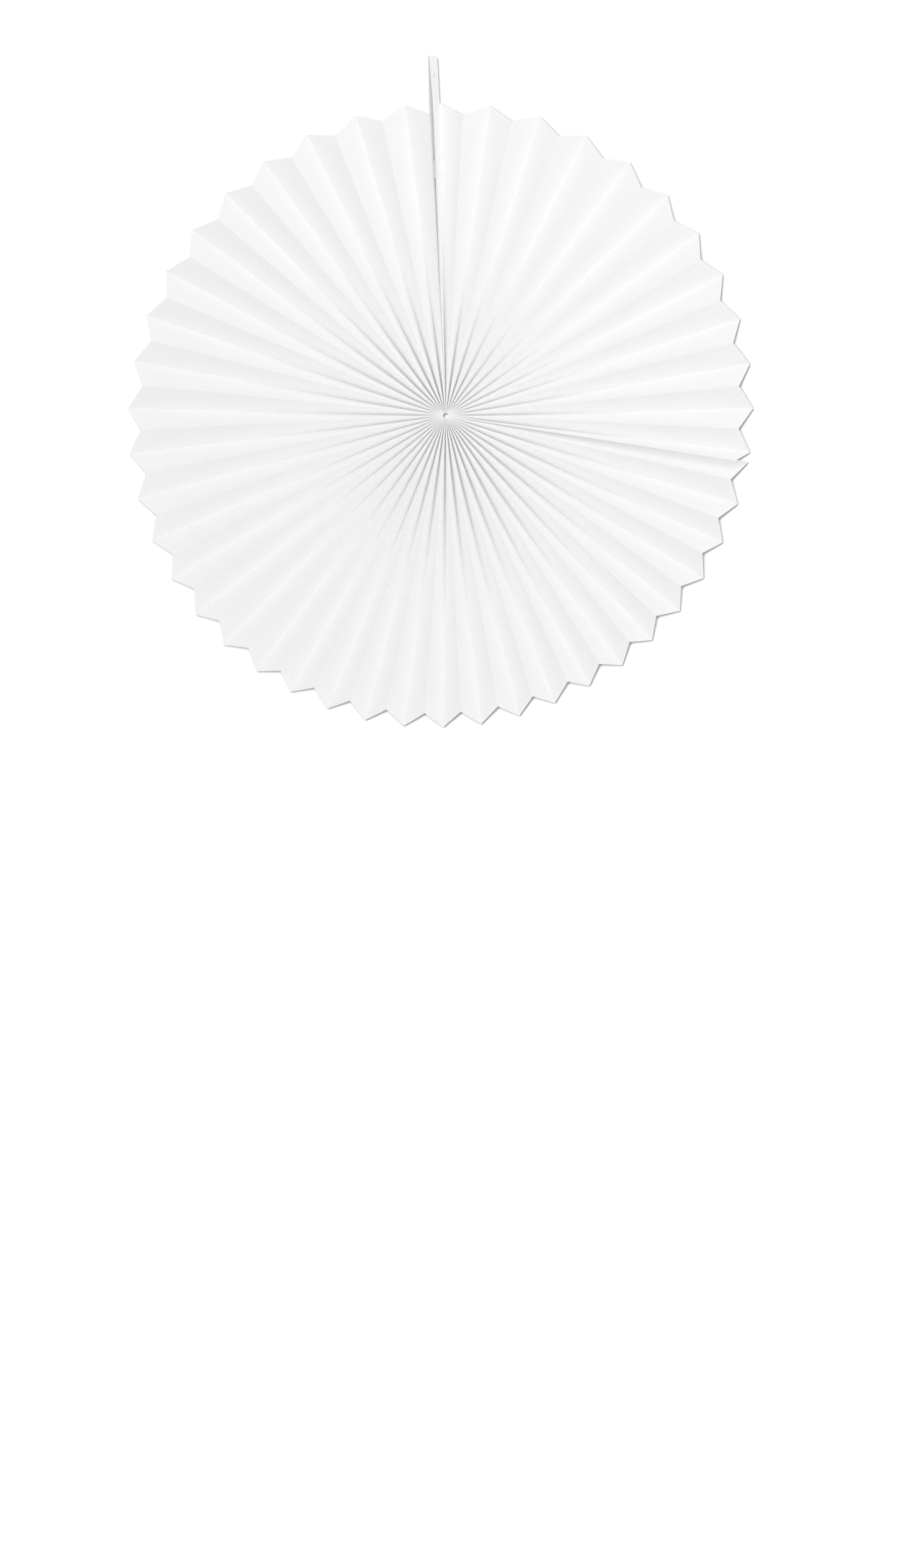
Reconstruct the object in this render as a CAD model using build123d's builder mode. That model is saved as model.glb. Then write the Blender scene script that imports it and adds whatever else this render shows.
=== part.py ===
"""Paper fan medallion: two pleated sheets opened into a full wheel, closed by two cards at the top.

The wheel hangs upright from the hole in its cards. X is to the viewer's right, the front faces -Y and
Z is up; the origin is the middle of the hang hole. Lengths are in millimetres.
"""

import os
from math import atan2, cos, hypot, pi, radians, sin, sqrt

from build123d import *

os.makedirs("parts", exist_ok=True)

# The folded paper
tip_radius = 200.0  # mean reach of the back folds, the points of the outline
rim_slant = 9.0  # the front folds are this much shorter, from the slanted cut
panel_width = 24.0  # paper between two folds
paper = 0.10
short_pleats = 12  # pleats of the short sheet, clockwise from the top
long_pleats = 33
hub_radius = 1.9  # where the packed folds end round the middle

# How the wheel is opened
spread = 1.15  # pleats are this much wider at the top than on average, and narrower at the bottom
rim_drift = 3.6  # the outline's middle lies this far from where the folds gather
rim_drift_at = -70.0  # clockwise from the top, in degrees
rim_oval = 2.1
rim_oval_at = 47.0
closing_share = 0.25  # the closing panel's turn, as a share of a common panel's
lap_share = 0.55  # the same for the short sheet's last panel, which covers the lap
lap_return = -0.07  # and for the long sheet's panel that folds back beneath it
glue = 0.06
tape = 0.15  # at the lap, and between each card and the paper

# The closing cards and the pad between them
card = 0.28
card_setback = 1.0  # the cards' edges lie this far inside the folds
card_corner = 1.5
tab_height = 30.0  # how far the cards stand above the rim
hole_drop = 12.0  # from the top of the cards down to the middle of the hang hole
hang_hole = 3.0
closing_gap = 2.2  # between the cards at the rim
tab_gap = 0.4  # between their tops
pad_drop = 43.0  # from the rim down to the middle of the pad
pad_length = 11.0
pad_width = 12.0
pad_setback = 1.2  # behind the cards' front edge

# The thread that gathers the folds
thread = 0.4
thread_radius = 6.0
thread_room = 0.1

stations = 17  # steps along a fold
station_growth = 1.7  # 1 makes the steps even; more makes them finer near the hub

# Heights above the middle of the wheel
card_top = tip_radius + tab_height
hang_height = card_top - hole_drop
pad_height = tip_radius - pad_drop
card_width = panel_width - 2 * card_setback

# A fold's number counts clockwise: front folds are even, back folds odd, and 0 is the closing fold.
lap_fold = 2 * short_pleats
fold_count = 2 * (short_pleats + long_pleats)
slots = fold_count + 2  # panels side by side at the hub, where the lap and the closing are double
slot = 2 * pi / slots
rim_offset = closing_gap / 2 + card + tape + paper
lap_offset = paper + tape
short_offsets = {0: rim_offset, 1: rim_offset}
long_offsets = {
    lap_fold - 1: lap_offset,
    lap_fold: lap_offset,
    fold_count: -rim_offset,
    fold_count + 1: -rim_offset,
}


def panel_share(number):
    """The turn of the panel after a fold, in common panels."""
    special = {0: closing_share, lap_fold - 1: lap_share, lap_fold: lap_return}
    return special.get(number, 1.0)


all_shares = sum(panel_share(number) for number in range(fold_count))


def rim_turn(number):
    """The clockwise angle of a fold at the rim, in radians from the top."""
    rounds, place = divmod(number, fold_count)
    before = sum(panel_share(earlier) for earlier in range(place)) - closing_share / 2
    half_turn = pi * before / all_shares
    # Even turns are drawn out at the top and crowded at the bottom.
    return 2 * pi * rounds + 2 * atan2(spread * sin(half_turn), cos(half_turn))


def rim_radius(number):
    """How far a fold reaches from the middle."""
    turn = rim_turn(number)
    drift = rim_drift * cos(turn - radians(rim_drift_at))
    oval = rim_oval * cos(2 * (turn - radians(rim_oval_at)))
    cut = rim_slant if number % 2 == 0 else 0.0
    return tip_radius + drift + oval - cut


def crease_point(number, hub_slot, offset, share):
    """A point on a fold: (x, z) from the middle, and how far forward it is.

    The fold starts at its slot round the hub, and its rim end is moved clockwise by offset. Share
    runs from 0 at the hub to 1 at the rim.
    """
    turn = rim_turn(number)
    reach = rim_radius(number)
    hub_x, hub_z = hub_radius * sin(slot * hub_slot), hub_radius * cos(slot * hub_slot)
    rim_x = reach * sin(turn) + offset * cos(turn)
    rim_z = reach * cos(turn) - offset * sin(turn)
    # A panel spans the mean of the turns beside its fold, and its width leaves it that much depth.
    hub_span = hub_radius * slot
    rim_span = reach * (rim_turn(number + 1) - rim_turn(number - 1)) / 2
    span = hub_span + (rim_span - hub_span) * share
    depth = sqrt(panel_width**2 - span**2) / 2
    return (
        hub_x + (rim_x - hub_x) * share,
        hub_z + (rim_z - hub_z) * share,
        depth if number % 2 == 0 else -depth,
    )


def crease(number, hub_slot, offset):
    """The points along a fold, from the hub to the rim."""
    shares = [(step / stations) ** station_growth for step in range(stations + 1)]
    return [crease_point(number, hub_slot, offset, share) for share in shares]


def panel_direction(point, neighbour, tangent):
    """Which way a panel leaves a fold: (clockwise, forward), of length 1."""
    across = (neighbour[0] - point[0]) * tangent[0] + (neighbour[1] - point[1]) * tangent[1]
    forward = neighbour[2] - point[2]
    length = hypot(across, forward)
    return across / length, forward / length


def fold_outline(folds, index):
    """A fold's closed outline: along its crease, and back on the inner side of the paper."""
    points = folds[index]
    turn = atan2(points[-1][0] - points[0][0], points[-1][1] - points[0][1])
    tangent = (cos(turn), -sin(turn))
    inside = []
    for step, point in enumerate(points):
        near = [folds[i][step] for i in (index - 1, index + 1) if 0 <= i < len(folds)]
        ways = [panel_direction(point, other, tangent) for other in near]
        if len(ways) == 1:
            # A sheet's end is cut as if its panel were mirrored in the fold.
            ways.append((-ways[0][0], ways[0][1]))
        bend = abs(ways[0][0] * ways[1][1] - ways[0][1] * ways[1][0])
        mitre = paper / (bend + 2 * paper / panel_width)
        across = mitre * (ways[0][0] + ways[1][0])
        x, z = point[0] + across * tangent[0], point[1] + across * tangent[1]
        inside.append((x, z, point[2] + mitre * (ways[0][1] + ways[1][1])))
    front, back = (points, inside) if points[0][2] > 0 else (inside, points)
    return [(x, -forward, z - hang_height) for x, z, forward in front + back[::-1]]


def folded_sheet(folds):
    """A pleated sheet as one solid: its twisted panels are closed by flat facets, fold to fold."""
    outlines = [fold_outline(folds, index) for index in range(len(folds))]
    facets = [Face(Wire.make_polygon(end)) for end in (outlines[0], outlines[-1])]
    for index, (here, following) in enumerate(zip(outlines, outlines[1:])):
        back_fold = folds[index][0][2] < 0
        for place in range(len(here)):
            corners = [here[place - 1], here[place], following[place], following[place - 1]]
            # Both faces of the paper share a diagonal, from the front fold outwards to the back one.
            if (place > len(here) // 2) != back_fold:
                corners = corners[1:] + corners[:1]
            facets.append(Face(Wire.make_polygon(corners[:3])))
            facets.append(Face(Wire.make_polygon([corners[0], *corners[2:]])))
    return Solid(Shell(facets))


def panel_x(side, height, forward):
    """Where the end panel of the right (1) or left (-1) sheet stands, at a height above the middle."""
    edges = []
    for number in (0, 1):
        hub_slot = number if side > 0 else number - 1
        hub_z = crease_point(number, hub_slot, side * rim_offset, 0)[1]
        rim_z = crease_point(number, hub_slot, side * rim_offset, 1)[1]
        share = (height - hub_z) / (rim_z - hub_z)
        edges.append(crease_point(number, hub_slot, side * rim_offset, share))
    (front_x, _, front), (back_x, _, back) = edges
    return back_x + (front_x - back_x) * (forward - back) / (front - back)


def card_x(side, height, forward):
    """The inner face of a card, which lies on its sheet's end panel up to the rim."""
    return panel_x(side, height, forward) - side * (paper + tape + card)


def seam_middle(height, forward):
    """Half way between the cards. The seam leans: its front is further left than its back."""
    return (panel_x(1, height, forward) + panel_x(-1, height, forward)) / 2


def card_outline(side, forward):
    """A card seen edge-on, this far forward; above the rim the two cards lean together."""
    inner = [(card_x(side, height, forward), height) for height in (card_foot, tip_radius)]
    inner.append((seam_middle(card_top, forward) + side * tab_gap / 2, card_top))
    outer = [(x + side * card, height) for x, height in inner]
    return inner + outer[::-1]


def pad_face(side, height, forward):
    """A face of the pad, which follows its card from front edge to back edge and from foot to rim."""
    rise = (height - card_foot) / (tip_radius - card_foot)
    front, back = (
        card_x(side, card_foot, edge) * (1 - rise) + card_x(side, tip_radius, edge) * rise
        for edge in card_edges
    )
    return (front + back) / 2 + (front - back) * forward / card_width - side * glue / 2


def pad_outline(forward):
    """The pad seen edge-on, this far forward: it fills the room between the cards."""
    low, high = pad_height - pad_length / 2, pad_height + pad_length / 2
    corners = ((-1, low), (1, low), (1, high), (-1, high))
    return [(pad_face(side, height, forward), height) for side, height in corners]


def upright(forward):
    """The upright plane across the wheel, this far in front of its middle."""
    return Plane(origin=(0, -forward, -hang_height), x_dir=(1, 0, 0), z_dir=(0, -1, 0))


# The cards reach down to where the narrowing paper brings them together.
hub_offset = hub_radius * slot / 2
foot_share = (paper + tape + card + glue - hub_offset) / (rim_offset - hub_offset)
card_foot = hub_radius + (rim_radius(1) - hub_radius) * foot_share
card_length = card_top - card_foot
card_lean = seam_middle(hang_height, 1) - seam_middle(hang_height, 0)
card_edges = (card_width / 2, -card_width / 2)
pad_front = card_width / 2 - pad_setback

wheel_middle = (0, 0, -hang_height)
wheel_axis = Axis(wheel_middle, (0, 1, 0))
thread_plane = Plane(origin=wheel_middle, x_dir=(1, 0, 0), z_dir=(0, 0, 1))
hole_plane = Plane(origin=(0, 0, 0), x_dir=(0, 0, 1), z_dir=(1, card_lean, 0))

# Short sheet: its first panel lies on the hanging card
short_folds = [crease(n, n, short_offsets.get(n, 0)) for n in range(lap_fold + 1)]
with BuildPart() as pleats_short:
    add(folded_sheet(short_folds))
    with BuildSketch(thread_plane):
        with Locations((thread_radius, 0)):
            Rectangle(thread + thread_room, thread + thread_room)
    revolve(axis=wheel_axis, mode=Mode.SUBTRACT)
pleats_short.part.label = "pleats_short"
export_step(pleats_short.part, "parts/pleats_short.step")

# Long sheet: its first panel lies behind the short sheet's last, its own last on the closing card
long_folds = [
    crease(n, n + 1, long_offsets.get(n, 0)) for n in range(lap_fold - 1, fold_count + 2)
]
with BuildPart() as pleats_long:
    add(folded_sheet(long_folds))
    with BuildSketch(thread_plane):
        with Locations((thread_radius, 0)):
            Rectangle(thread + thread_room, thread + thread_room)
    revolve(axis=wheel_axis, mode=Mode.SUBTRACT)
pleats_long.part.label = "pleats_long"
export_step(pleats_long.part, "parts/pleats_long.step")

# The two cards: lofted from front edge to back edge, cut to the rounded strip, then punched
for label, side in (("hanging_card", 1), ("closing_card", -1)):
    with BuildPart() as end_card:
        for forward in card_edges:
            with BuildSketch(upright(forward)):
                Polygon(*card_outline(side, forward), align=None)
        loft(ruled=True)
        with BuildSketch(Plane.YZ):
            with Locations((0, card_top - card_length / 2 - hang_height)):
                RectangleRounded(card_width, card_length, card_corner)
        extrude(amount=card_width, both=True, mode=Mode.INTERSECT)
        with BuildSketch(hole_plane):
            Circle(hang_hole / 2)
        extrude(amount=card_width, both=True, mode=Mode.SUBTRACT)
    end_card.part.label = label
    export_step(end_card.part, f"parts/{label}.step")

# Foam pad that sticks the cards together
with BuildPart() as foam_pad:
    for forward in (pad_front, pad_front - pad_width):
        with BuildSketch(upright(forward)):
            Polygon(*pad_outline(forward), align=None)
    loft(ruled=True)
foam_pad.part.label = "foam_pad"
export_step(foam_pad.part, "parts/foam_pad.step")

# Thread ring through the slits in every panel
with BuildPart() as tie_thread:
    with BuildSketch(thread_plane):
        with Locations((thread_radius, 0)):
            RegularPolygon(thread / 2, 6)
    revolve(axis=wheel_axis)
tie_thread.part.label = "tie_thread"
export_step(tie_thread.part, "parts/tie_thread.step")
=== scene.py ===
"""Looks of the paper fan medallion: folded sheets, cards, pad and thread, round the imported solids."""

import logging
import math
from dataclasses import dataclass
from enum import Enum
from typing import Any

import bmesh
import bpy
from mathutils import Matrix, Vector


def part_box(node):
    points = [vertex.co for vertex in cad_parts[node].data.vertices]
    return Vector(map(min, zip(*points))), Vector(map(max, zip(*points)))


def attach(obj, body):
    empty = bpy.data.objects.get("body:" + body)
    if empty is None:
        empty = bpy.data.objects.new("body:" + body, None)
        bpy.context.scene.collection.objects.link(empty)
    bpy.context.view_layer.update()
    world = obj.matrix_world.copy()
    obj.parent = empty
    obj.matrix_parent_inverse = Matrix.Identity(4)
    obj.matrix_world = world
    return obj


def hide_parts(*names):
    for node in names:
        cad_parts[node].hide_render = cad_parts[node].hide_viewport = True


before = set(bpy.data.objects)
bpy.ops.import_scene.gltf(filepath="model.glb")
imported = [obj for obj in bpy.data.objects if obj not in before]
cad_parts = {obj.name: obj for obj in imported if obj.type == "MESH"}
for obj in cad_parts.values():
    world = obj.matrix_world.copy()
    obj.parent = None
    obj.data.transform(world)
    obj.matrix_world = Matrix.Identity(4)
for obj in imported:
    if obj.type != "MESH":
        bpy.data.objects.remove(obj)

LOG = logging.getLogger("paper_fan")

# Added to a place counted in folds, so that a point on a fold belongs to the panel after it.
FOLD_SLACK = 0.0005


class Seen(Enum):
    """From where a stage surface is there to be seen."""

    BOTH_SIDES = "both sides"
    FRONT_ONLY = "front only"


@dataclass(frozen=True)
class Value:
    """An output of a node; arithmetic on it adds Math nodes to its graph.

    Args:
        graph: The node graph that the output belongs to.
        socket: The output itself, or None for a node that has none.
    """

    graph: "Graph"
    socket: bpy.types.NodeSocket | None

    def __add__(self, other: Any) -> "Value":
        """Sum."""
        return self.graph.maths("ADD", self, other)

    def __radd__(self, other: Any) -> "Value":
        """Sum, with the number first."""
        return self.graph.maths("ADD", other, self)

    def __sub__(self, other: Any) -> "Value":
        """Difference."""
        return self.graph.maths("SUBTRACT", self, other)

    def __rsub__(self, other: Any) -> "Value":
        """Difference, with the number first."""
        return self.graph.maths("SUBTRACT", other, self)

    def __mul__(self, other: Any) -> "Value":
        """Product."""
        return self.graph.maths("MULTIPLY", self, other)

    def __rmul__(self, other: Any) -> "Value":
        """Product, with the number first."""
        return self.graph.maths("MULTIPLY", other, self)

    def __truediv__(self, other: Any) -> "Value":
        """Quotient."""
        return self.graph.maths("DIVIDE", self, other)

    def __pow__(self, other: Any) -> "Value":
        """Power."""
        return self.graph.maths("POWER", self, other)

    def __gt__(self, other: Any) -> "Value":
        """1 where this is the larger, else 0."""
        return self.graph.maths("GREATER_THAN", self, other)

    def __lt__(self, other: Any) -> "Value":
        """1 where this is the smaller, else 0."""
        return self.graph.maths("LESS_THAN", self, other)

    def call(self, operation: str, *others: Any) -> "Value":
        """A Math node of that operation, with this as its first value."""
        return self.graph.maths(operation, self, *others)

    def out(self, name: str) -> "Value":
        """Another output of the same node, by its name."""
        return Value(self.graph, self.socket.node.outputs[name])


class Graph:
    """Adds nodes to one node tree.

    Args:
        tree: The tree of a material or of a Geometry Nodes group.
    """

    def __init__(self, tree: bpy.types.NodeTree) -> None:
        """Keeps the tree."""
        self.tree = tree

    def node(self, kind: str, settings: dict[str, Any] | None = None,
             inputs: dict[Any, Any] | None = None) -> Value:
        """Adds any node.

        Args:
            kind: The node's type name.
            settings: Its own settings, set before its sockets.
            inputs: Values or links of its sockets, by name or place.

        Returns:
            The node's first output that is in use.
        """
        made = self.tree.nodes.new(kind)
        for name, setting in (settings or {}).items():
            setattr(made, name, setting)
        for key, value in (inputs or {}).items():
            socket = made.inputs[key]
            if isinstance(value, Value):
                self.tree.links.new(value.socket, socket)
            else:
                socket.default_value = value
        shown = [socket for socket in made.outputs if socket.enabled]
        return Value(self, shown[0] if shown else None)

    def maths(self, operation: str, *values: Any) -> Value:
        """A Math node on values or numbers."""
        return self.node("ShaderNodeMath", {"operation": operation}, dict(enumerate(values)))

    def vector(self, x: Any, y: Any, z: Any) -> Value:
        """A vector from three values or numbers."""
        return self.node("ShaderNodeCombineXYZ", inputs={"X": x, "Y": y, "Z": z})

    def greys(self, factor: Value, low: float, high: float) -> Value:
        """A neutral colour between two tones.

        Args:
            factor: 0 for the low tone, 1 for the high one.
            low: The first tone.
            high: The second tone.

        Returns:
            The mixed colour.
        """
        # A Mix node's colours are its inputs 6 and 7 and its output 2.
        mixed = self.node("ShaderNodeMix", {"data_type": "RGBA"}, {0: factor})
        mixed.socket.node.inputs[6].default_value = (low, low, low, 1.0)
        mixed.socket.node.inputs[7].default_value = (high, high, high, 1.0)
        return Value(self, mixed.socket.node.outputs[2])

    def noise(self, place: Value, size: float, detail: float = 3.0, rough: float = 0.55) -> Value:
        """A noise whose blots are about this size, in metres."""
        return self.node("ShaderNodeTexNoise", inputs={
            "Vector": place, "Scale": 1.0 / size, "Detail": detail, "Roughness": rough})


def new_material(name: str) -> tuple[bpy.types.Material, Graph]:
    """An empty material and its graph.

    Args:
        name: The material's name.

    Returns:
        The material and the graph of its nodes.
    """
    material = bpy.data.materials.new(name)
    # The paper's painted light, an emission, is too weak to be worth sampling as a lamp.
    material.cycles.emission_sampling = "NONE"
    material.use_nodes = True
    material.node_tree.nodes.clear()
    return material, Graph(material.node_tree)


def close_material(graph: Graph, shader: Value) -> None:
    """Links a shader to the material's output."""
    graph.node("ShaderNodeOutputMaterial", inputs={"Surface": shader})


@dataclass(frozen=True)
class FoldedPaperFinish:
    """Uncoated white paper: cloudy formation, short fibres, and painted light: emission that stands in
    for light in its folds, with painted highlight on the ridges, painted shade in the valleys and at the
    hub, and more of it at the sides of the wheel.

    Args:
        name: The material's name.
        tone: The paper's reflectance.
        cloud: How far the formation's clouds darken it.
        contrast: How strongly that shows in the tone.
        cloud_size: The size of a cloud, in metres.
        fleck_size: The size of a fleck.
        fibre_size: The width of a fibre.
        reach: The length of a fold, in metres.
        painted_glow: Painted light: an even emission over the paper, as brightness, that lifts its shaded
            grooves.
        ridge_light_valley_shade: Painted highlight on the ridges and painted shade in the valleys, as
            emission, fading out towards the rim.
        at_top: The share of that at the top and bottom.
        less_at_sides: How much smaller that share is at the sides.
        hub_shade: Painted shade: how much emission is taken away at the hub.
        hub: How far from the middle that painted shade reaches.
        painted_side_light: Painted light: how much more emission the sides of the wheel have than its top
            and bottom.
        middle: The height of the wheel's middle.
    """

    name: str
    tone: float = 0.92
    cloud: float = 0.01
    contrast: float = 10.0
    cloud_size: float = 0.006
    fleck_size: float = 0.0011
    fibre_size: float = 0.0016
    reach: float = 0.2
    painted_glow: float = 0.078
    ridge_light_valley_shade: float = 0.085
    at_top: float = 1.25
    less_at_sides: float = 0.5
    hub_shade: float = 0.01
    hub: float = 0.03
    painted_side_light: float = 0.014
    middle: float = -0.218

    def make(self) -> bpy.types.Material:
        """Builds the material.

        Returns:
            The finished material.
        """
        material, graph = new_material(self.name)
        sheet = graph.node("ShaderNodeAttribute", {"attribute_name": "sheet"}).out("Vector")
        place = graph.node("ShaderNodeTexCoord").out("Object")
        parts = graph.node("ShaderNodeSeparateXYZ", inputs={0: sheet})
        raised = (parts.out("Z") + 1.0).call("PINGPONG", 1.0)
        opened = (parts.out("Y") / self.reach).call("MINIMUM", 1.0)
        free = (parts.out("Y") / self.hub).call("MINIMUM", 1.0)
        spot = graph.node("ShaderNodeSeparateXYZ", inputs={0: place})
        # Painted light by place: the sides of the wheel get more emission than its top and bottom.
        height = spot.out("Z") - self.middle
        across = spot.out("X") * spot.out("X")
        sideways = across / (across + height * height)
        # Painted highlight on the ridges and painted shade in the valleys, stronger at the top and bottom
        # of the wheel than at its sides.
        ridge_valley_shading = self.ridge_light_valley_shade * (self.at_top - self.less_at_sides * sideways)
        # Painted light and shade by fold and by place round the wheel, as a change of emission.
        uneven = ridge_valley_shading * (raised - 0.5) + self.painted_side_light * (sideways - 0.5)
        # Painted shade: the emission is lowered at the hub.
        painted_glow = self.painted_glow + (1.0 - opened) ** 2.0 * uneven - self.hub_shade * (1.0 - free)
        clouds = graph.noise(sheet, self.cloud_size, 5.0, 0.6)
        flecks = graph.noise(sheet, self.fleck_size, 3.0, 0.7)
        fibres = graph.noise(graph.node("ShaderNodeMapping", inputs={
            "Vector": sheet, "Scale": (4.0, 1.0, 1.0)}), self.fibre_size, 4.0, 0.7)
        dark = self.cloud * (0.65 * clouds + 0.35 * flecks)
        colour = graph.greys(0.8 - self.contrast * dark, self.tone - 0.06, self.tone)
        rough = 0.9 - 0.1 * flecks
        bump = graph.node("ShaderNodeBump", inputs={
            "Strength": 0.05, "Distance": 0.00004, "Height": 0.6 * fibres + 0.4 * clouds})
        handled = graph.noise(place, 0.03, 2.0)
        # Painted light: the emission brightens the paper evenly and lifts its shaded grooves.
        lit = graph.node("ShaderNodeBsdfPrincipled", inputs={
            "Base Color": colour, "Roughness": rough + 0.04 * handled, "Normal": bump,
            "Specular IOR Level": 0.25, "Emission Color": graph.vector(painted_glow, painted_glow, painted_glow),
            "Emission Strength": 1.0})
        close_material(graph, lit)
        return material


@dataclass(frozen=True)
class CardFinish:
    """Smooth white card with a faint calendered grain along its length.

    Args:
        name: The material's name.
        tone: The card's reflectance.
        painted_glow: Painted light: an even emission over the card, as brightness.
    """

    name: str
    tone: float = 0.9
    painted_glow: float = 0.05

    def make(self) -> bpy.types.Material:
        """Builds the material.

        Returns:
            The finished material.
        """
        material, graph = new_material(self.name)
        place = graph.node("ShaderNodeTexCoord").out("Object")
        grain = graph.noise(graph.node("ShaderNodeMapping", inputs={
            "Vector": place, "Scale": (6.0, 6.0, 1.0)}), 0.004, 4.0, 0.6)
        clouds = graph.noise(place, 0.008, 3.0)
        colour = graph.greys(0.6 * clouds + 0.4 * grain, self.tone - 0.03, self.tone + 0.01)
        bump = graph.node("ShaderNodeBump", inputs={
            "Strength": 0.25, "Distance": 0.00003, "Height": grain})
        # Painted light: an even emission brightens the card.
        lit = graph.node("ShaderNodeBsdfPrincipled", inputs={
            "Base Color": colour, "Roughness": 0.62 + 0.16 * grain, "Normal": bump,
            "Specular IOR Level": 0.35, "Emission Color": (*(self.painted_glow,) * 3, 1.0),
            "Emission Strength": 1.0})
        close_material(graph, lit)
        return material


@dataclass(frozen=True)
class FoamFinish:
    """Pale closed-cell foam, cut so that its cells show, with painted shade in their hollows.

    Args:
        name: The material's name.
        tone: The foam's reflectance.
        cell: The size of a cell, in metres.
    """

    name: str
    tone: float = 0.8
    cell: float = 0.00035

    def make(self) -> bpy.types.Material:
        """Builds the material.

        Returns:
            The finished material.
        """
        material, graph = new_material(self.name)
        place = graph.node("ShaderNodeTexCoord").out("Object")
        cells = graph.node("ShaderNodeTexVoronoi", {"feature": "F1"}, {
            "Vector": place, "Scale": 1.0 / self.cell, "Randomness": 0.9})
        walls = cells.call("MULTIPLY", 1.4).call("MINIMUM", 1.0)
        uneven = graph.noise(place, 0.002, 3.0)
        # Painted shade: each cell's hollow is darker than its walls.
        colour = graph.greys(0.7 * walls + 0.3 * uneven, self.tone - 0.16, self.tone + 0.04)
        bump = graph.node("ShaderNodeBump", inputs={
            "Strength": 0.6, "Distance": 0.00012, "Height": walls})
        lit = graph.node("ShaderNodeBsdfPrincipled", inputs={
            "Base Color": colour, "Roughness": 0.82 + 0.12 * uneven, "Normal": bump,
            "Specular IOR Level": 0.3})
        close_material(graph, lit)
        return material


@dataclass(frozen=True)
class ThreadFinish:
    """White sewing thread, with the sheen of its twisted filaments.

    Args:
        name: The material's name.
        tone: The thread's reflectance.
    """

    name: str
    tone: float = 0.84

    def make(self) -> bpy.types.Material:
        """Builds the material.

        Returns:
            The finished material.
        """
        material, graph = new_material(self.name)
        place = graph.node("ShaderNodeTexCoord").out("Object")
        filaments = graph.noise(place, 0.00008, 2.0)
        uneven = graph.noise(place, 0.0012, 2.0)
        colour = graph.greys(0.5 * filaments + 0.5 * uneven, self.tone - 0.14, self.tone + 0.06)
        bump = graph.node("ShaderNodeBump", inputs={
            "Strength": 0.5, "Distance": 0.00003, "Height": filaments})
        lit = graph.node("ShaderNodeBsdfPrincipled", inputs={
            "Base Color": colour, "Roughness": 0.55 + 0.25 * uneven, "Normal": bump,
            "Sheen Weight": 0.3})
        close_material(graph, lit)
        return material


@dataclass(frozen=True)
class StageFinish:
    """Plain pale studio surface.

    Args:
        name: The material's name.
        tone: Its reflectance.
        seen: From where it is there; a backdrop is only there from its front.
        covered: Radius of what the fan covers of a backdrop; the fan's back is lit through that.
        middle: The height of the wheel's middle.
    """

    name: str
    tone: float
    seen: Seen
    covered: float = 0.19
    middle: float = -0.218

    def make(self) -> bpy.types.Material:
        """Builds the material.

        Returns:
            The finished material.
        """
        material, graph = new_material(self.name)
        place = graph.node("ShaderNodeTexCoord").out("Object")
        colour = graph.greys(graph.noise(place, 0.4, 2.0), self.tone - 0.01, self.tone + 0.01)
        surface = graph.node("ShaderNodeBsdfDiffuse", inputs={"Color": colour})
        if self.seen is Seen.FRONT_ONLY:
            behind = graph.node("ShaderNodeNewGeometry").out("Backfacing")
            spot = graph.node("ShaderNodeSeparateXYZ", inputs={0: place})
            across, height = spot.out("X"), spot.out("Z") - self.middle
            hidden = across * across + height * height < self.covered ** 2
            bounced = graph.node("ShaderNodeLightPath").out("Is Diffuse Ray")
            absent = behind.call("MAXIMUM", hidden * bounced)
            clear = graph.node("ShaderNodeBsdfTransparent")
            surface = graph.node("ShaderNodeMixShader", inputs={0: absent, 1: surface, 2: clear})
        close_material(graph, surface)
        return material


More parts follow.
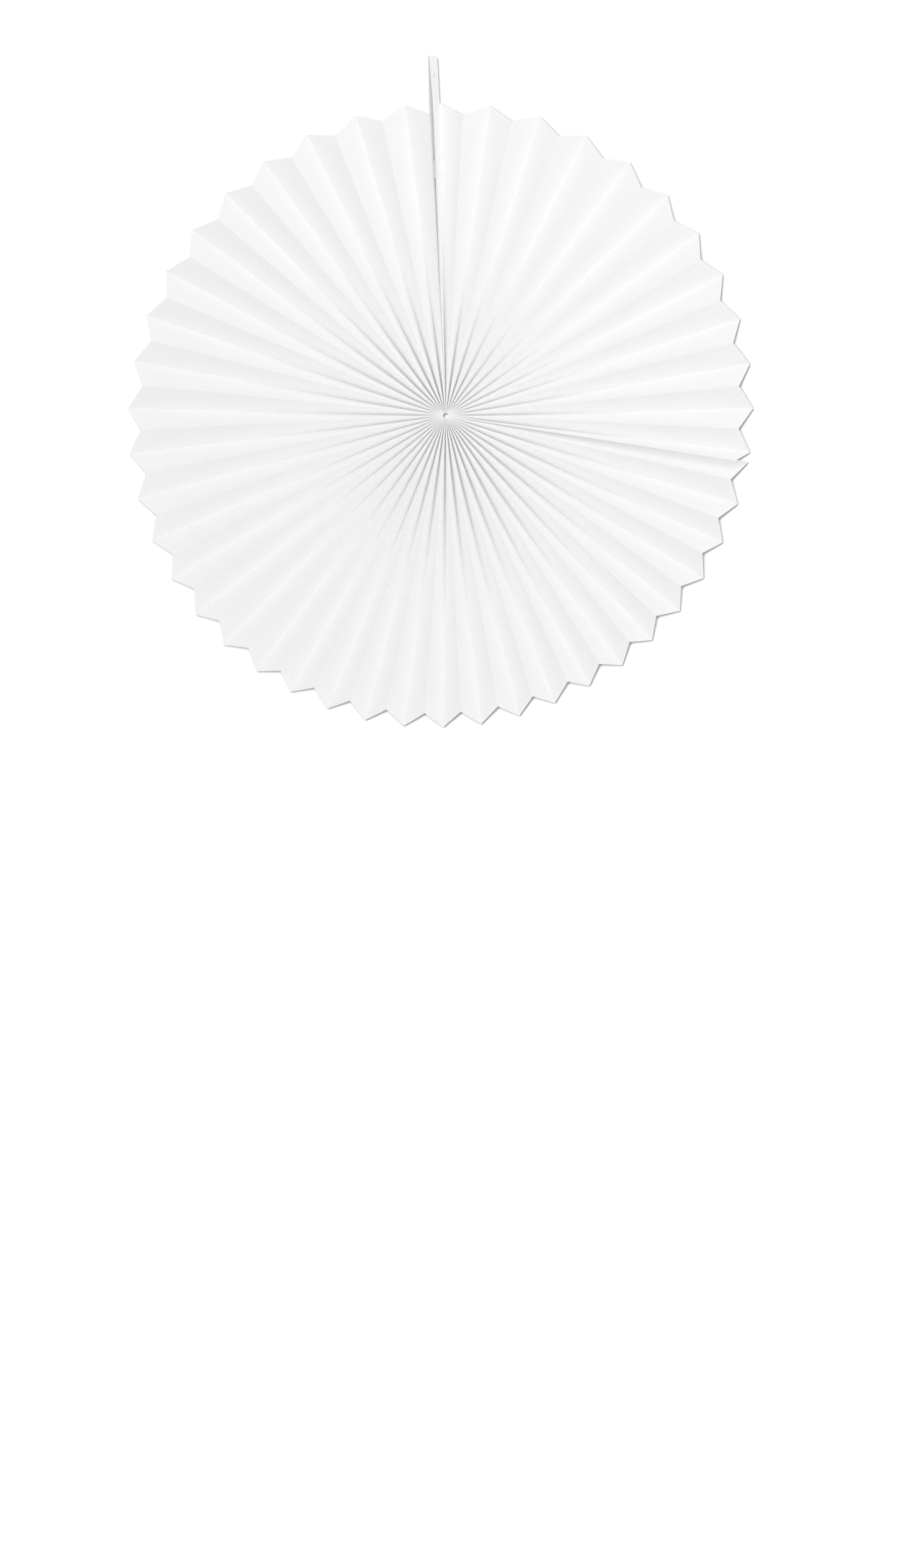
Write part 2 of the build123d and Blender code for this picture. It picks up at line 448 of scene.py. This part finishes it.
@dataclass(frozen=True)
class Wheel:
    """The rule that all folds of the opened wheel follow, in metres and degrees.

    Folds are numbered clockwise from the closing seam at the top: even ones are front ridges, odd ones
    are back valleys, whose ends are the points of the outline.

    Args:
        tip_radius: The mean reach of the points.
        rim_slant: How much shorter the front ridges are.
        panel_width: The paper between two folds.
        paper: The paper's thickness.
        short_pleats: The pleats of the short sheet.
        long_pleats: The pleats of the long sheet.
        hub_radius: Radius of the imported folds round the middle.
        spread: How unevenly the folds are spread from the top to the bottom.
        rim_drift: How far the outline lies to one side.
        rim_drift_at: The clockwise angle of that side.
        rim_oval: How far the outline is drawn out to an oval.
        rim_oval_at: The clockwise angle at which it is.
        closing_share: Width of the closing panel at the top, in common panels.
        lap_share: Width of the panel before the lap.
        lap_return: Width of the panel that goes back beneath it.
        rim_offset: How far the sheets' ends are moved apart at the closing, at the rim.
        lap_offset: How far the lap's lower panel is moved.
        hang_height: From the wheel's middle up to the hang hole.
    """

    tip_radius: float = 0.2
    rim_slant: float = 0.009
    panel_width: float = 0.024
    paper: float = 0.0001
    short_pleats: int = 12
    long_pleats: int = 33
    hub_radius: float = 0.0019
    spread: float = 1.15
    rim_drift: float = 0.0036
    rim_drift_at: float = -70.0
    rim_oval: float = 0.0021
    rim_oval_at: float = 47.0
    closing_share: float = 0.25
    lap_share: float = 0.55
    lap_return: float = -0.07
    rim_offset: float = 0.00163
    lap_offset: float = 0.00025
    hang_height: float = 0.218

    @property
    def lap_fold(self) -> int:
        """The front fold that ends the short sheet."""
        return 2 * self.short_pleats

    @property
    def folds(self) -> int:
        """All folds once round."""
        return 2 * (self.short_pleats + self.long_pleats)

    @property
    def all_shares(self) -> float:
        """The whole turn, counted in common panels; three panels have a width of their own."""
        return self.folds - 3 + self.closing_share + self.lap_share + self.lap_return

    def rim_turn(self, number: Value) -> Value:
        """The clockwise angle of a fold at the rim.

        Args:
            number: The fold's number.

        Returns:
            Radians from the top.
        """
        rounds = ((number + 0.5) / self.folds).call("FLOOR")
        place = number - self.folds * rounds
        # Folds have whole numbers, so each test lies half way between two of them.
        before = place - self.closing_share / 2.0
        before = before - (1.0 - self.closing_share) * (place > 0.5)
        before = before - (1.0 - self.lap_share) * (place > self.lap_fold - 0.5)
        before = before - (1.0 - self.lap_return) * (place > self.lap_fold + 0.5)
        half = before * (math.pi / self.all_shares)
        opened = (self.spread * half.call("SINE")).call("ARCTAN2", half.call("COSINE"))
        return 2.0 * math.pi * rounds + 2.0 * opened


@dataclass
class FoldedSheet:
    """One pleated sheet of the wheel.

    Args:
        wheel: The rule that its folds follow.
        name: The piece's name.
        node: The solid that it stands for.
        first_fold: The number of its first fold.
        panels: How many panels it has.
        slot_shift: How many places its folds are moved on round the hub.
        first_offset: How far its first panel is moved clockwise at the rim, in metres.
        last_offset: The same for its last panel.
        seed: Seed of its small irregularities.
        steps_across: The mesh's steps across a panel.
        steps_along: Its steps along a fold.
        step_growth: How the steps along a fold grow outward.
        bow: How far a panel may bow.
        bow_least: The least bow, as a share of that.
        wander: How far a fold may turn aside, in radians.
        unevenness: How much longer or shorter a fold may be.
        crease_angle: Edges that turn by more than this stay sharp, in degrees.
        reach_seed: Added to the seed for the folds' lengths.
        bow_seed: Added to it for the bows.
    """

    wheel: Wheel
    name: str
    node: str
    first_fold: int
    panels: int
    slot_shift: int
    first_offset: float
    last_offset: float
    seed: int
    steps_across: int = 6
    steps_along: int = 40
    step_growth: float = 1.6
    bow: float = 0.0002
    bow_least: float = -0.6
    wander: float = 0.0022
    unevenness: float = 0.0003
    crease_angle: float = 14.0
    reach_seed: int = 50
    bow_seed: int = 9

    def _inputs(self) -> dict[str, tuple[str, Any]]:
        """The tree's named inputs, with their types and values."""
        whole, length = "NodeSocketInt", "NodeSocketFloat"
        return {
            "First Fold": (whole, self.first_fold),
            "Panels": (whole, self.panels),
            "Steps Across": (whole, self.steps_across),
            "Steps Along": (whole, self.steps_along),
            "Slot Shift": (whole, self.slot_shift),
            "First Offset": (length, self.first_offset),
            "Last Offset": (length, self.last_offset),
            "Tip Radius": (length, self.wheel.tip_radius),
            "Rim Slant": (length, self.wheel.rim_slant),
            "Panel Width": (length, self.wheel.panel_width),
            "Hub Radius": (length, self.wheel.hub_radius),
            "Bow": (length, self.bow),
            "Wander": (length, self.wander),
            "Unevenness": (length, self.unevenness),
            "Seed": (whole, self.seed),
        }

    def _crease(self, given: dict[str, Value], number: Value, share: Value) -> tuple[Value, Value, Value]:
        """A point on a fold.

        Args:
            given: The tree's inputs.
            number: The fold's number.
            share: 0 at the hub, 1 at the rim.

        Returns:
            How far it lies to the right of the wheel's middle, above it and in front of it.
        """
        wheel, graph = self.wheel, number.graph
        last = given["First Fold"] + given["Panels"]
        at_first = number < given["First Fold"] + 1.5
        at_last = number > last - 1.5
        free = (1.0 - at_first) * (1.0 - at_last)
        chance = [graph.node("FunctionNodeRandomValue", {"data_type": "FLOAT"}, {
            2: -1.0, 3: 1.0, "ID": number.call("ROUND"),
            "Seed": given["Seed"] + more}).socket.node.outputs[1]
            for more in (0, self.reach_seed)]
        wander, uneven = (free * Value(graph, socket) for socket in chance)
        turn = wheel.rim_turn(number) + given["Wander"] * wander
        back = number.call("FLOORED_MODULO", 2.0)
        drift = wheel.rim_drift * (turn - math.radians(wheel.rim_drift_at)).call("COSINE")
        oval = wheel.rim_oval * (2.0 * turn - math.radians(2.0 * wheel.rim_oval_at)).call("COSINE")
        reach = given["Tip Radius"] + drift + oval - given["Rim Slant"] * (1.0 - back)
        reach = reach + given["Unevenness"] * uneven
        offset = given["First Offset"] * at_first + given["Last Offset"] * at_last
        slot = 2.0 * math.pi / (wheel.folds + 2)
        at_hub = slot * (number + given["Slot Shift"])
        hub_x = given["Hub Radius"] * at_hub.call("SINE")
        hub_z = given["Hub Radius"] * at_hub.call("COSINE")
        sine, cosine = turn.call("SINE"), turn.call("COSINE")
        rim_x = reach * sine + offset * cosine
        rim_z = reach * cosine - offset * sine
        hub_span = slot * given["Hub Radius"]
        rim_span = 0.5 * reach * (wheel.rim_turn(number + 1.0) - wheel.rim_turn(number - 1.0))
        span = hub_span + (rim_span - hub_span) * share
        depth = 0.5 * (given["Panel Width"] ** 2.0 - span * span).call("SQRT")
        return (hub_x + (rim_x - hub_x) * share, hub_z + (rim_z - hub_z) * share,
                depth * (1.0 - 2.0 * back))

    def _tree(self, material: bpy.types.Material) -> bpy.types.NodeTree:
        """Builds the Geometry Nodes tree that folds the sheet.

        Args:
            material: The paper's material.

        Returns:
            The tree, with a named input for each size.
        """
        tree = bpy.data.node_groups.new(f"fold_{self.name}", "GeometryNodeTree")
        for name, (kind, _) in self._inputs().items():
            tree.interface.new_socket(name, in_out="INPUT", socket_type=kind)
        tree.interface.new_socket("Geometry", in_out="OUTPUT", socket_type="NodeSocketGeometry")
        graph = Graph(tree)
        entry = graph.node("NodeGroupInput")
        given = {name: entry.out(name) for name in self._inputs()}
        grid = graph.node("GeometryNodeMeshGrid", inputs={
            "Size X": 1.0, "Size Y": 1.0,
            "Vertices X": given["Panels"] * given["Steps Across"] + 1.0,
            "Vertices Y": given["Steps Along"] + 1.0})
        flat = graph.node("ShaderNodeSeparateXYZ", inputs={0: graph.node("GeometryNodeInputPosition")})
        across = given["Panels"] * (flat.out("X") + 0.5) + given["First Fold"]
        share = (flat.out("Y") + 0.5).call("MAXIMUM", 0.0) ** self.step_growth
        panel = (across + FOLD_SLACK).call("FLOOR").call(
            "MINIMUM", given["First Fold"] + given["Panels"] - 1.0)
        part = across - panel
        here = self._crease(given, panel, share)
        following = self._crease(given, panel + 1.0, share)
        x, z, forward = (a + (b - a) * part for a, b in zip(here, following))
        placed = graph.vector(x, 0.0 - forward, z - self.wheel.hang_height)
        sheet = graph.vector(across * given["Panel Width"], share * given["Tip Radius"], across)
        marked = graph.node("GeometryNodeStoreNamedAttribute",
                            {"data_type": "FLOAT_VECTOR", "domain": "POINT"},
                            {"Geometry": grid, "Name": "sheet", "Value": sheet})
        folded = graph.node("GeometryNodeSetPosition", inputs={"Geometry": marked, "Position": placed})
        stored = graph.node("GeometryNodeInputNamedAttribute",
                            {"data_type": "FLOAT_VECTOR"}, {"Name": "sheet"})
        known = graph.node("ShaderNodeSeparateXYZ", inputs={0: stored})
        at = known.out("Z")
        number = (at + FOLD_SLACK).call("FLOOR")
        within = at - number
        reached = known.out("Y") / given["Tip Radius"]
        inner = (number > given["First Fold"] + 1.5) * (
            number < given["First Fold"] + given["Panels"] - 2.5)
        chance = graph.node("FunctionNodeRandomValue", {"data_type": "FLOAT"}, {
            2: self.bow_least, 3: 1.0, "ID": number,
            "Seed": given["Seed"] + self.bow_seed}).socket.node.outputs[1]
        way = 1.0 - 2.0 * number.call("FLOORED_MODULO", 2.0)
        swell = 4.0 * within * (1.0 - within) * reached * inner
        normal = graph.node("GeometryNodeInputNormal")
        push = graph.node("ShaderNodeVectorMath", {"operation": "SCALE"}, {
            0: normal, "Scale": given["Bow"] * Value(graph, chance) * swell * (0.4 + 0.6 * way)})
        bowed = graph.node("GeometryNodeSetPosition", inputs={"Geometry": folded, "Offset": push})
        whole = graph.node("GeometryNodeRealizeInstances", inputs={0: bowed})
        dressed = graph.node("GeometryNodeSetMaterial", inputs={"Geometry": whole, "Material": material})
        graph.node("NodeGroupOutput", inputs={0: dressed})
        return tree

    def build(self, finish: FoldedPaperFinish) -> bpy.types.Object:
        """Folds the sheet and gives the paper its thickness.

        Args:
            finish: The paper's finish.

        Returns:
            The piece, riding on the fan.
        """
        material = finish.make()
        tree = self._tree(material)
        piece = bpy.data.objects.new(self.name, bpy.data.meshes.new(self.name + "_start"))
        bpy.context.scene.collection.objects.link(piece)
        folding = piece.modifiers.new("folding", "NODES")
        folding.node_group = tree
        values = self._inputs()
        for item in tree.interface.items_tree:
            if item.item_type == "SOCKET" and item.in_out == "INPUT":
                folding[item.identifier] = values[item.name][1]
        thick = piece.modifiers.new("thickness", "SOLIDIFY")
        thick.thickness = self.wheel.paper
        thick.offset = 0.0
        evaluated = piece.evaluated_get(bpy.context.evaluated_depsgraph_get())
        mesh = bpy.data.meshes.new_from_object(evaluated)
        piece.modifiers.clear()
        piece.data = mesh
        return self.dress(piece, material)

    def dress(self, piece: bpy.types.Object, material: bpy.types.Material) -> bpy.types.Object:
        """Keeps the creases crisp, and puts the piece in the solid's place.

        Args:
            piece: The folded sheet.
            material: The paper's material.

        Returns:
            The same piece.
        """
        mesh = piece.data
        mesh.name = self.name
        if not mesh.materials:
            mesh.materials.append(material)
        mesh.shade_smooth()
        mesh.set_sharp_from_angle(angle=math.radians(self.crease_angle))
        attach(piece, "root")
        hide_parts(self.node)
        LOG.info("%s: %d faces", self.name, len(mesh.polygons))
        return piece


@dataclass
class ClosingCards:
    """The two card strips that close the wheel, whose tops make the hanging tab.

    Args:
        nodes: The strips' solids, which are dressed as they are.
    """

    nodes: tuple[str, str] = ("hanging_card", "closing_card")

    def dress(self, finish: CardFinish) -> None:
        """Gives both strips their card finish.

        Args:
            finish: The card's finish.
        """
        material = finish.make()
        for name in self.nodes:
            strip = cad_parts[name]
            strip.data.materials.clear()
            strip.data.materials.append(material)
            LOG.info("%s: dressed", name)


@dataclass
class FoamPad:
    """The foam block that sticks the cards together.

    Args:
        node: The solid that it stands for, and whose room it fills.
        name: The piece's name.
        rounding: How far its cut edges are rounded, in metres.
        bulge: How far its free sides swell from being pressed.
        cuts: How often each edge is divided, so that it can swell.
        flat_angle: Faces that meet at less than this become one, in degrees.
        edge_angle: Edges that turn by more than this stay sharp.
    """

    node: str = "foam_pad"
    name: str = "foam_block"
    rounding: float = 0.0003
    bulge: float = 0.00035
    cuts: int = 3
    flat_angle: float = 3.0
    edge_angle: float = 40.0

    def build(self, finish: FoamFinish) -> bpy.types.Object:
        """Builds the block from the room that it fills.

        Args:
            finish: The foam's finish.

        Returns:
            The piece, riding on the fan.
        """
        material = finish.make()
        low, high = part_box(self.node)
        middle = (low + high) / 2.0
        block = bmesh.new()
        block.from_mesh(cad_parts[self.node].data)
        bmesh.ops.remove_doubles(block, verts=block.verts, dist=1e-6)
        bmesh.ops.dissolve_limit(block, angle_limit=math.radians(self.flat_angle),
                                 verts=block.verts, edges=block.edges)
        bmesh.ops.bevel(block, geom=block.edges[:], offset=self.rounding, segments=2, affect="EDGES",
                        profile=0.5, clamp_overlap=True)
        bmesh.ops.subdivide_edges(block, edges=block.edges[:], cuts=self.cuts, use_grid_fill=True)
        for vert in block.verts:
            rise = (vert.co.z - middle.z) / (high.z - low.z) * 2.0
            depth = (vert.co.y - middle.y) / (high.y - low.y) * 2.0
            vert.co.z += self.bulge * rise * (1.0 - depth * depth)
            vert.co.y += self.bulge * depth * (1.0 - rise * rise)
        bmesh.ops.recalc_face_normals(block, faces=block.faces)
        mesh = bpy.data.meshes.new(self.name)
        block.to_mesh(mesh)
        block.free()
        mesh.materials.append(material)
        mesh.shade_smooth()
        mesh.set_sharp_from_angle(angle=math.radians(self.edge_angle))
        piece = bpy.data.objects.new(self.name, mesh)
        bpy.context.scene.collection.objects.link(piece)
        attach(piece, "root")
        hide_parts(self.node)
        LOG.info("%s: %d faces", self.name, len(mesh.polygons))
        return piece


@dataclass
class TieThread:
    """The thread loop that gathers the folds round the middle.

    Args:
        wheel: Where the fan is.
        node: The solid that it stands for.
        name: The piece's name.
        ring: The loop's radius.
        ply: The radius of one of its two plies.
        turns: How many times the plies wind round each other.
        steps: The mesh's steps round the loop.
        sides: Its steps round a ply.
    """

    wheel: Wheel
    node: str = "tie_thread"
    name: str = "thread_loop"
    ring: float = 0.006
    ply: float = 0.0001
    turns: int = 36
    steps: int = 432
    sides: int = 8

    def _tree(self, material: bpy.types.Material) -> bpy.types.NodeTree:
        """Builds the tree that winds two plies round the loop.

        Args:
            material: The thread's material.

        Returns:
            The tree, with a named input for each size.
        """
        tree = bpy.data.node_groups.new("wind_thread", "GeometryNodeTree")
        for name, kind in (("Ring", "NodeSocketFloat"), ("Ply", "NodeSocketFloat"),
                           ("Turns", "NodeSocketInt")):
            tree.interface.new_socket(name, in_out="INPUT", socket_type=kind)
        tree.interface.new_socket("Geometry", in_out="OUTPUT", socket_type="NodeSocketGeometry")
        graph = Graph(tree)
        entry = graph.node("NodeGroupInput")
        ring, ply, turns = (entry.out(name) for name in ("Ring", "Ply", "Turns"))
        plies = []
        for start in (0.0, math.pi):
            around = graph.node("GeometryNodeCurvePrimitiveCircle", {"mode": "RADIUS"}, {
                "Resolution": self.steps, "Radius": 1.0})
            place = graph.node("GeometryNodeInputIndex") * (2.0 * math.pi / self.steps)
            wind = turns * place + start
            reach = ring + ply * wind.call("COSINE")
            line = graph.vector(reach * place.call("SINE"), ply * wind.call("SINE"),
                                reach * place.call("COSINE") - self.wheel.hang_height)
            wound = graph.node("GeometryNodeSetPosition", inputs={"Geometry": around, "Position": line})
            section = graph.node("GeometryNodeCurvePrimitiveCircle", {"mode": "RADIUS"}, {
                "Resolution": self.sides, "Radius": ply})
            plies.append(graph.node("GeometryNodeCurveToMesh", inputs={
                "Curve": wound, "Profile Curve": section}))
        joined = graph.node("GeometryNodeJoinGeometry")
        for each in plies:
            tree.links.new(each.socket, joined.socket.node.inputs[0])
        whole = graph.node("GeometryNodeRealizeInstances", inputs={0: joined})
        dressed = graph.node("GeometryNodeSetMaterial", inputs={"Geometry": whole, "Material": material})
        graph.node("NodeGroupOutput", inputs={0: dressed})
        return tree

    def build(self, finish: ThreadFinish) -> bpy.types.Object:
        """Winds the thread.

        Args:
            finish: The thread's finish.

        Returns:
            The piece, riding on the fan.
        """
        material = finish.make()
        tree = self._tree(material)
        piece = bpy.data.objects.new(self.name, bpy.data.meshes.new(self.name + "_start"))
        bpy.context.scene.collection.objects.link(piece)
        winding = piece.modifiers.new("winding", "NODES")
        winding.node_group = tree
        values = {"Ring": self.ring, "Ply": self.ply, "Turns": self.turns}
        for item in tree.interface.items_tree:
            if item.item_type == "SOCKET" and item.in_out == "INPUT":
                winding[item.identifier] = values[item.name]
        evaluated = piece.evaluated_get(bpy.context.evaluated_depsgraph_get())
        mesh = bpy.data.meshes.new_from_object(evaluated)
        piece.modifiers.clear()
        piece.data = mesh
        mesh.name = self.name
        if not mesh.materials:
            mesh.materials.append(material)
        mesh.shade_smooth()
        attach(piece, "root")
        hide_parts(self.node)
        LOG.info("%s: %d faces", self.name, len(mesh.polygons))
        return piece


@dataclass(frozen=True)
class Wash:
    """A round lamp beside the camera that lights the backdrop alone.

    Args:
        name: The lamp's name.
        size: Its diameter, in metres.
        energy: Its power, in watts.
        aside: How far to the right of the camera it stands.
        above: How far above it.
    """

    name: str
    size: float
    energy: float
    aside: float
    above: float


@dataclass
class Studio:
    """Camera, light and plain pale stage.

    Args:
        wheel: Where the fan is.
        distance: From the camera to the fan.
        frame_height: What the image's height covers at the fan.
        roll: How far the fan hangs turned in the image, in degrees.
        middle_right: The image's middle, to the right of the wheel's middle.
        middle_below: The image's middle, below the wheel's middle.
        sensor: What the image's height has on the camera's sensor, in millimetres.
        view_end: How far the camera sees.
        floor_level: The floor's height.
        floor_half: Half the floor's width and depth.
        floor_tone: The floor's reflectance.
        wall_behind: How far the backdrop stands behind the fan.
        wall_half: Half the backdrop's width.
        wall_top: The height of its top.
        wall_tone: Its reflectance.
        sky: Brightness of the light from all round.
        bounces: How often light may bounce.
        key_size: Diameter of the key lamp.
        key_energy: Its power, in watts.
        key_from: Where it stands, from the wheel's middle.
        washes: The backdrop's lamps.
    """

    wheel: Wheel
    distance: float = 6.0
    frame_height: float = 1.002
    roll: float = 2.1
    middle_right: float = 0.00497
    middle_below: float = 0.2352
    sensor: float = 36.0
    view_end: float = 100.0
    floor_level: float = -1.02
    floor_half: tuple[float, float] = (6.0, 8.0)
    floor_tone: float = 0.9
    wall_behind: float = 0.04
    wall_half: float = 3.0
    wall_top: float = 2.5
    wall_tone: float = 0.3
    sky: float = 0.785
    bounces: int = 16
    key_size: float = 0.3
    key_energy: float = 0.92
    key_from: tuple[float, float, float] = (0.169, -0.7, 0.216)
    washes: tuple[Wash, ...] = (
        Wash("left_wash", 0.22, 430.0, -0.22, 0.06),
        Wash("high_wash", 0.22, 430.0, -0.06, 0.22),
        Wash("front_wash", 0.5, 210.0, 0.0, 0.0))

    def _add(self, name: str, data: bpy.types.ID) -> bpy.types.Object:
        """Links a new object into the scene.

        Args:
            name: The object's name.
            data: Its mesh, camera or light.

        Returns:
            The object.
        """
        made = bpy.data.objects.new(name, data)
        bpy.context.scene.collection.objects.link(made)
        return made

    def _stand(self) -> tuple[Vector, Vector, Vector]:
        """Where the photographer stands.

        Returns:
            The directions of the image's right and up, and the camera's place.
        """
        roll = math.radians(self.roll)
        right = Vector((math.cos(roll), 0.0, -math.sin(roll)))
        up = Vector((math.sin(roll), 0.0, math.cos(roll)))
        before = Vector((0.0, -self.distance, -self.wheel.hang_height))
        return right, up, before + self.middle_right * right - self.middle_below * up

    def camera(self) -> None:
        """Sets the camera square to the wheel, with a long lens."""
        right, up, place = self._stand()
        lens = bpy.data.cameras.new("camera")
        lens.sensor_width = self.sensor
        lens.lens = self.sensor * self.distance / self.frame_height
        lens.clip_end = self.view_end
        made = self._add("camera", lens)
        turn = Matrix((right, up, Vector((0.0, -1.0, 0.0)))).transposed().to_4x4()
        made.matrix_world = Matrix.Translation(place) @ turn
        bpy.context.scene.camera = made

    def stage(self) -> bpy.types.Object:
        """Lays the floor and stands the backdrop behind the fan.

        Returns:
            The backdrop.
        """
        low, wall = self.floor_level, self.wall_behind
        wide, deep = self.floor_half
        side, top = self.wall_half, self.wall_top
        floor = [(-wide, -deep, low), (wide, -deep, low), (wide, deep, low), (-wide, deep, low)]
        upright = [(-side, wall, low), (side, wall, low), (side, wall, top), (-side, wall, top)]
        made = {}
        for finish, points in ((StageFinish("floor", self.floor_tone, Seen.BOTH_SIDES), floor),
                               (StageFinish("backdrop", self.wall_tone, Seen.FRONT_ONLY), upright)):
            name = finish.name
            mesh = bpy.data.meshes.new(name)
            mesh.from_pydata(points, [], [(0, 1, 2, 3)])
            mesh.materials.append(finish.make())
            made[name] = self._add(name, mesh)
        return made["backdrop"]

    def light(self, backdrop: bpy.types.Object) -> None:
        """Lights the paper softly from the upper right, and the backdrop from beside the camera.

        Args:
            backdrop: The backdrop, which has lamps of its own.
        """
        scene = bpy.context.scene
        scene.view_settings.view_transform = "Standard"
        scene.cycles.max_bounces = self.bounces
        scene.cycles.diffuse_bounces = self.bounces
        world = bpy.data.worlds.new("studio")
        scene.world = world
        world.use_nodes = True
        sky = world.node_tree.nodes["Background"]
        sky.inputs["Color"].default_value = (1.0, 1.0, 1.0, 1.0)
        sky.inputs["Strength"].default_value = self.sky
        middle = Vector((0.0, 0.0, -self.wheel.hang_height))
        key = bpy.data.lights.new("key", "AREA")
        key.shape = "DISK"
        key.size = self.key_size
        key.energy = self.key_energy
        lamp = self._add("key", key)
        lamp.visible_camera = False
        self._aim(lamp, middle + Vector(self.key_from), middle)
        others = bpy.data.collections.new("not_lit_by_key")
        others.objects.link(backdrop)
        others.collection_objects[0].light_linking.link_state = "EXCLUDE"
        lamp.light_linking.receiver_collection = others
        wall = bpy.data.collections.new("lit_by_wash")
        wall.objects.link(backdrop)
        right, up, place = self._stand()
        for wash in self.washes:
            disk = bpy.data.lights.new(wash.name, "AREA")
            disk.shape = "DISK"
            disk.size = wash.size
            disk.energy = wash.energy
            lamp = self._add(wash.name, disk)
            lamp.visible_camera = False
            self._aim(lamp, place + wash.aside * right + wash.above * up, middle)
            lamp.light_linking.receiver_collection = wall

    @staticmethod
    def _aim(lamp: bpy.types.Object, place: Vector, target: Vector) -> None:
        """Puts a lamp somewhere and turns it to a point.

        Args:
            lamp: The lamp.
            place: Where it stands.
            target: What it points at.
        """
        lamp.location = place
        lamp.rotation_mode = "QUATERNION"
        lamp.rotation_quaternion = (target - place).to_track_quat("-Z", "Y")


def main() -> None:
    """Builds the pieces in order, then the studio round them."""
    logging.basicConfig(level=logging.INFO, format="%(name)s %(message)s")
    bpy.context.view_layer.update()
    wheel = Wheel()
    FoldedSheet(wheel, "folded_sheet_short", "pleats_short", 0, wheel.lap_fold, 0,
                wheel.rim_offset, 0.0, 11).build(FoldedPaperFinish("white_paper_short"))
    FoldedSheet(wheel, "folded_sheet_long", "pleats_long", wheel.lap_fold - 1,
                wheel.folds + 2 - wheel.lap_fold, 1, wheel.lap_offset, -wheel.rim_offset,
                23).build(FoldedPaperFinish("white_paper_long"))
    ClosingCards().dress(CardFinish("white_card"))
    FoamPad().build(FoamFinish("pale_foam"))
    TieThread(wheel).build(ThreadFinish("white_thread"))
    studio = Studio(wheel)
    studio.camera()
    studio.light(studio.stage())


if __name__ == "__main__":
    main()
